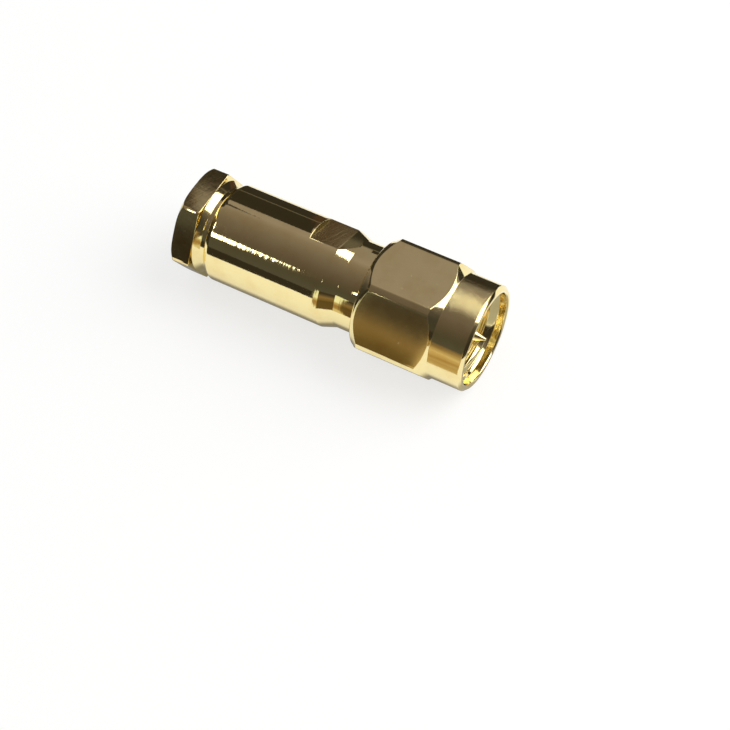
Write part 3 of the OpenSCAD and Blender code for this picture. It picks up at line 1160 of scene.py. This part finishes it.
def add_lamp(name, angles, brightness, colour):
    """A rectangular lamp that faces the plug and covers the given angles, in degrees."""
    far = angles["far"]
    lamp = bpy.data.lights.new(name, "AREA")
    lamp.shape = "RECTANGLE"
    lamp.size = 2 * far * math.tan(math.radians(angles["wide"] / 2))
    lamp.size_y = 2 * far * math.tan(math.radians(angles["high"] / 2))
    lamp.energy = brightness * math.pi * lamp.size * lamp.size_y
    lamp.color = colour
    holder = bpy.data.objects.new(name, lamp)
    towards = direction(angles["azimuth"], angles["elevation"])
    holder.location = towards * far
    holder.rotation_euler = towards.to_track_quat("Z", "Y").to_euler()
    bpy.context.scene.collection.objects.link(holder)
    return holder


def floor_material(colour, glow):
    """A white floor that keeps the plug's shadow, with a little light of its own to the camera.

    The metal sees the floor's glow painted darker close under the plug, a painted shade where little
    light comes."""
    material, tree, shader, where = new_material("Studio floor")
    shade = noise(tree, where, 0.02, 2.0)
    pale = blend_colours(tree, shade, tuple(colour), tuple(c * 0.99 for c in colour))
    tree.links.new(pale, shader.inputs["Base Color"])
    shader.inputs["Roughness"].default_value = 0.9
    shader.inputs["Specular IOR Level"].default_value = 0.1
    rays = tree.nodes.new("ShaderNodeLightPath").outputs
    y = axes(tree, where)[1]
    # Painted shade: the glow that the metal sees is lowered close under the plug
    under = remap(tree, calc(tree, "ABSOLUTE", y), 3.2, 4.8, 0.2, 1.0, True)
    mirrored = calc(tree, "MULTIPLY", rays["Is Glossy Ray"], under)
    seen = calc(tree, "MAXIMUM", rays["Is Camera Ray"], mirrored)
    seen = calc(tree, "MAXIMUM", seen, rays["Is Transmission Ray"])
    shader.inputs["Emission Color"].default_value = (1.0, 1.0, 1.0, 1.0)
    tree.links.new(calc(tree, "MULTIPLY", seen, glow), shader.inputs["Emission Strength"])
    return material


def colour_ramp(tree, value, stops):
    """A colour ramp over a value, from (place, colour) pairs."""
    node = place(tree, "ShaderNodeValToRGB", {"Fac": value})
    ramp = node.color_ramp
    while len(ramp.elements) < len(stops):
        ramp.elements.new(0.5)
    for element, (at, colour) in zip(ramp.elements, stops):
        element.position = at
        element.color = (*colour, 1.0)
    return node.outputs["Color"]


def glow_material(name, colour_of, strength):
    """A surface that only glows, in the colour that a function gives for the nodes."""
    material = bpy.data.materials.new(name)
    material.use_nodes = True
    tree = material.node_tree
    tree.nodes.clear()
    glow = place(tree, "ShaderNodeEmission", {"Color": colour_of(tree), "Strength": strength})
    out = tree.nodes.new("ShaderNodeOutputMaterial")
    tree.links.new(glow.outputs[0], out.inputs["Surface"])
    return material


def tent_colour(tree):
    """The tent as polished metal mirrors it: a grey roof over dark sides."""
    at = own_place(tree)
    unit = place(tree, "ShaderNodeVectorMath", {0: at}, operation="NORMALIZE").outputs[0]
    x, y, z = axes(tree, unit)
    across = remap(tree, y, -1.0, 1.0, 0.0, 1.0)
    roof = colour_ramp(
        tree,
        across,
        [(0.05, (0.07, 0.062, 0.05)), (0.25, (0.13, 0.105, 0.1)), (0.42, (0.18, 0.152, 0.15)),
         (0.6, (0.24, 0.205, 0.2)), (0.7, (0.31, 0.272, 0.29)), (0.85, (0.28, 0.25, 0.26))],
    )
    sides = colour_ramp(
        tree,
        across,
        [(0.03, (0.085, 0.082, 0.075)), (0.2, (0.07, 0.066, 0.055)), (0.5, (0.03, 0.03, 0.03)),
         (0.9, (0.018, 0.02, 0.023))],
    )
    far = remap(tree, y, -0.25, 0.35, 0.0, 1.0, True)
    edge_far = remap(tree, z, 0.0, 0.1, 0.0, 1.0, True)
    edge_near = remap(tree, z, 0.2, 0.7, 0.0, 1.0, True)
    edge = calc(
        tree,
        "ADD",
        calc(tree, "MULTIPLY", edge_far, far),
        calc(tree, "MULTIPLY", edge_near, calc(tree, "SUBTRACT", 1.0, far)),
    )
    return blend_colours(tree, edge, sides, roof)


def card_colour(tree):
    """A nearly black card with a faint cloudiness."""
    at = own_place(tree)
    return blend_colours(tree, noise(tree, at, 60.0), (0.028, 0.024, 0.02), (0.04, 0.034, 0.028))


def glint_colour(tree):
    """White beads, for a bar that one corner mirrors; dark to rays that run along the plug."""
    at = own_place(tree)
    beads = remap(tree, noise(tree, at, 6500.0, 0.0), 0.4, 0.6, 0.0, 1.0, True)
    lit = blend_colours(tree, beads, (0.8, 0.75, 0.6), (8.0, 8.0, 7.4))
    ray = tree.nodes.new("ShaderNodeNewGeometry").outputs["Incoming"]
    along = axes(tree, ray)[0]
    return blend_colours(tree, remap(tree, along, 0.6, 0.65, 0.0, 1.0, True), lit, (0.05, 0.05, 0.05))


def painted_plug_reflection_colour(tree):
    """A warm glow that paints the mirrored second plug: painted light amber near the floor, painted
    shade dark brown at the top, and a paler end with painted highlights.
    """
    at = own_place(tree)
    x, _, z = axes(tree, at)
    up = remap(tree, z, -0.004, 0.0035, 0.0, 1.0)
    streak = noise(tree, axis_stretch(tree, at, 60.0, 600.0), 1.0, 2.0)
    up = calc(tree, "ADD", up, remap(tree, streak, 0.3, 0.7, -0.06, 0.06), clamp=True)
    middle = colour_ramp(
        tree,
        up,
        [(0.5, (0.13, 0.085, 0.035)), (0.6, (0.12, 0.08, 0.03)), (0.66, (0.2, 0.135, 0.055)),
         (0.73, (0.26, 0.175, 0.085)), (0.8, (0.17, 0.125, 0.07)), (0.87, (0.12, 0.09, 0.055)),
         (0.93, (0.09, 0.07, 0.045)), (1.0, (0.05, 0.038, 0.026))],
    )
    end = colour_ramp(
        tree,
        up,
        [(0.3, (0.7, 0.6, 0.36)), (0.42, (0.4, 0.26, 0.1)), (0.56, (0.36, 0.22, 0.09)),
         (0.64, (0.6, 0.5, 0.28)), (0.72, (0.95, 1.0, 0.85)), (0.95, (0.9, 0.95, 0.75))],
    )
    front = colour_ramp(
        tree,
        up,
        [(0.1, (0.58, 0.46, 0.25)), (0.39, (0.42, 0.27, 0.1)), (0.64, (0.68, 0.54, 0.3)),
         (0.87, (0.39, 0.28, 0.13)), (1.0, (0.2, 0.14, 0.08))],
    )
    colour = blend_colours(tree, remap(tree, x, -0.0089, -0.0084, 1.0, 0.0, True), middle, end)
    return blend_colours(tree, remap(tree, x, -0.0026, -0.002, 0.0, 1.0, True), colour, front)


def skyline_colour(tree):
    """Nearly black, with one faint light line along it."""
    at = own_place(tree)
    dark = card_colour(tree)
    x, _, z = axes(tree, at)
    brown = remap(
        tree, calc(tree, "ABSOLUTE", calc(tree, "SUBTRACT", x, -0.0151)), 0.0012, 0.0018, 1.0, 0.0, True
    )
    dark = blend_colours(tree, brown, dark, (0.07, 0.042, 0.028))
    off = calc(tree, "ABSOLUTE", calc(tree, "SUBTRACT", z, 0.0057))
    line = remap(tree, off, 0.0002, 0.0006, 1.0, 0.0, True)
    return blend_colours(tree, line, dark, (0.13, 0.12, 0.11))


def skyline_mesh(name, low):
    """An upright card along X with a stepped top."""
    points, faces = [], []
    for start, end, high in SKYLINE:
        n = len(points)
        points += [(start, SKYLINE_Y, low), (end, SKYLINE_Y, low)]
        points += [(end, SKYLINE_Y, high), (start, SKYLINE_Y, high)]
        faces.append((n, n + 1, n + 2, n + 3))
    mesh = bpy.data.meshes.new(name)
    mesh.from_pydata(points, [], faces)
    return mesh


def floor_mesh(z):
    """A square floor at that height."""
    mesh = bpy.data.meshes.new("studio_floor")
    corners = ((-1, -1), (1, -1), (1, 1), (-1, 1))
    points = [(FLOOR_REACH * x, FLOOR_REACH * y, z) for x, y in corners]
    mesh.from_pydata(points, [], [(0, 1, 2, 3)])
    return mesh


def wall_mesh(name, low, height, radius, start, end):
    """A curved wall standing on the floor around the plug, between two angles in degrees."""
    steps = 48
    high = low + height
    middle = (CAD_BOX[0].x + CAD_BOX[1].x) / 2
    points, faces = [], []
    for k in range(steps + 1):
        a = math.radians(start + (end - start) * k / steps)
        x, y = middle + radius * math.cos(a), radius * math.sin(a)
        points += [(x, y, low), (x, y, high)]
        if k:
            faces.append((2 * k - 2, 2 * k, 2 * k + 1, 2 * k - 1))
    mesh = bpy.data.meshes.new(name)
    mesh.from_pydata(points, [], faces)
    return mesh


def tube_mesh(name, start, end, radius):
    """A closed round bar between two points."""
    mesh = bpy.data.meshes.new(name)
    bm = bmesh.new()
    start, end = Vector(start), Vector(end)
    bmesh.ops.create_cone(
        bm, cap_ends=True, segments=64, radius1=radius, radius2=radius, depth=(end - start).length
    )
    turn = (end - start).to_track_quat("Z", "Y").to_matrix().to_4x4()
    turn.translation = (start + end) / 2
    bmesh.ops.transform(bm, matrix=turn, verts=bm.verts)
    for face in bm.faces:
        face.smooth = len(face.verts) == 4
    bm.to_mesh(mesh)
    bm.free()
    return mesh


def only_light(lamp, *names):
    """Lets a lamp light the named pieces alone."""
    lit = bpy.data.collections.new("Lit by the " + lamp.name.lower())
    for name in names:
        lit.objects.link(bpy.data.objects[name])
    lamp.light_linking.receiver_collection = lit


def only_mirrored(*props):
    """Leaves studio props visible in mirrors alone, so that they cast no light or shadow."""
    for prop in props:
        prop.visible_camera = False
        prop.visible_diffuse = False
        prop.visible_shadow = False


def tent_mesh(radius):
    """The upper half of a ball."""
    mesh = bpy.data.meshes.new("studio_tent")
    bm = bmesh.new()
    bmesh.ops.create_uvsphere(bm, u_segments=64, v_segments=32, radius=radius)
    low = [v for v in bm.verts if v.co.z < -1e-4]
    bmesh.ops.delete(bm, geom=low, context="VERTS")
    for face in bm.faces:
        face.smooth = True
    bm.to_mesh(mesh)
    bm.free()
    return mesh


class PLUG_OT_studio(bpy.types.Operator):
    """Sets up the floor, the tent, the lamps and the camera"""

    bl_idname = "plug.studio"
    bl_label = "Studio"

    def execute(self, context):
        scene, studio = context.scene, context.scene.plug_studio
        floor_z = CAD_BOX[0].z
        floor = as_piece(floor_mesh(floor_z), [floor_material(studio.floor, studio.floor_glow)])
        tent = as_piece(
            tent_mesh(TENT_RADIUS), [glow_material("Studio tent", tent_colour, studio.tent)]
        )
        card = glow_material("Dark card", card_colour, 1.0)
        cards = [as_piece(wall_mesh(name, floor_z, *shape), [card]) for name, shape in CARDS.items()]
        # Painted reflection: a glowing stand-in for a second gold plug beside this one, with its light
        # and shade painted into its colour
        warm = glow_material("Gold reflector", painted_plug_reflection_colour, 1.0)
        skyline = as_piece(
            skyline_mesh("studio_skyline", floor_z),
            [glow_material("Dark skyline", skyline_colour, 1.0)],
        )
        glint = glow_material("Glint", glint_colour, 1.0)
        bars = [as_piece(tube_mesh(name, *ends), [warm]) for name, ends in PAINTED_REFLECTION_BARS.items()]
        bars += [as_piece(tube_mesh(name, *ends), [glint]) for name, ends in GLINTS.items()]
        only_mirrored(tent, skyline, *cards, *bars)
        add_lamp("Window", WINDOW, studio.window, (1.0, 1.0, 0.98))
        strip = add_lamp("Strip light", STRIP, studio.strip, (1.0, 1.0, 0.96))
        overhead = add_lamp("Overhead light", OVERHEAD, studio.overhead, (1.0, 1.0, 0.92))
        only_light(strip, "body_shell", "clamp_nut_shell")
        only_light(overhead, "coupling_nut_shell")

        world = bpy.data.worlds.new("Studio world")
        world.use_nodes = True
        tree = world.node_tree
        rays = tree.nodes.new("ShaderNodeLightPath").outputs
        seen = calc(tree, "MAXIMUM", rays["Is Camera Ray"], rays["Is Glossy Ray"])
        seen = calc(tree, "MAXIMUM", seen, rays["Is Transmission Ray"])
        background = tree.nodes["Background"]
        background.inputs["Color"].default_value = (1.0, 1.0, 1.0, 1.0)
        tree.links.new(remap(tree, seen, 0.0, 1.0, studio.sky, 1.0), background.inputs["Strength"])
        scene.world = world
        scene.view_settings.view_transform = "Standard"

        camera = bpy.data.objects.new("Camera", bpy.data.cameras.new("Camera"))
        scene.collection.objects.link(camera)
        right, down, ahead = (Vector(v) for v in (CAMERA_RIGHT, CAMERA_DOWN, CAMERA_AHEAD))
        turn = camera.matrix_world.to_3x3()
        for k, axis in enumerate((right, -down, -ahead)):
            turn.col[k] = axis.normalized()
        camera.matrix_world = turn.to_4x4()
        camera.location = CAMERA_PLACE
        camera.data.lens = CAMERA_LENS
        camera.data.sensor_width = 36.0
        camera.data.clip_start, camera.data.clip_end = 0.005, 10.0
        scene.camera = camera
        return {"FINISHED"}


STEPS = (PLUG_OT_coupling_nut, PLUG_OT_body, PLUG_OT_clamp_nut, PLUG_OT_inner_parts, PLUG_OT_studio)


class PLUG_PT_builder(bpy.types.Panel):
    """Lists the steps that build the plug's looks, with their settings"""

    bl_idname = "PLUG_PT_builder"
    bl_label = "Coaxial plug"
    bl_space_type = "VIEW_3D"
    bl_region_type = "UI"
    bl_category = "Plug"

    def draw(self, context):
        for step in STEPS:
            self.layout.operator(step.bl_idname)
        for group in ("plug_sizes", "plug_colours", "plug_studio"):
            settings = getattr(context.scene, group)
            for name in settings.bl_rna.properties.keys():
                if name not in ("rna_type", "name"):
                    self.layout.prop(settings, name)


SETTINGS = {"plug_sizes": PlugSizes, "plug_colours": PlugColours, "plug_studio": PlugStudio}


def register():
    for cls in (*SETTINGS.values(), *STEPS, PLUG_PT_builder):
        bpy.utils.register_class(cls)
    for name, cls in SETTINGS.items():
        setattr(bpy.types.Scene, name, PointerProperty(type=cls))


def unregister():
    for name in SETTINGS:
        delattr(bpy.types.Scene, name)
    for cls in reversed((*SETTINGS.values(), *STEPS, PLUG_PT_builder)):
        bpy.utils.unregister_class(cls)


def main():
    """Builds everything in order."""
    register()
    bpy.ops.plug.coupling_nut()
    bpy.ops.plug.body()
    bpy.ops.plug.clamp_nut()
    bpy.ops.plug.inner_parts()
    bpy.ops.plug.studio()


if __name__ == "__main__":
    main()
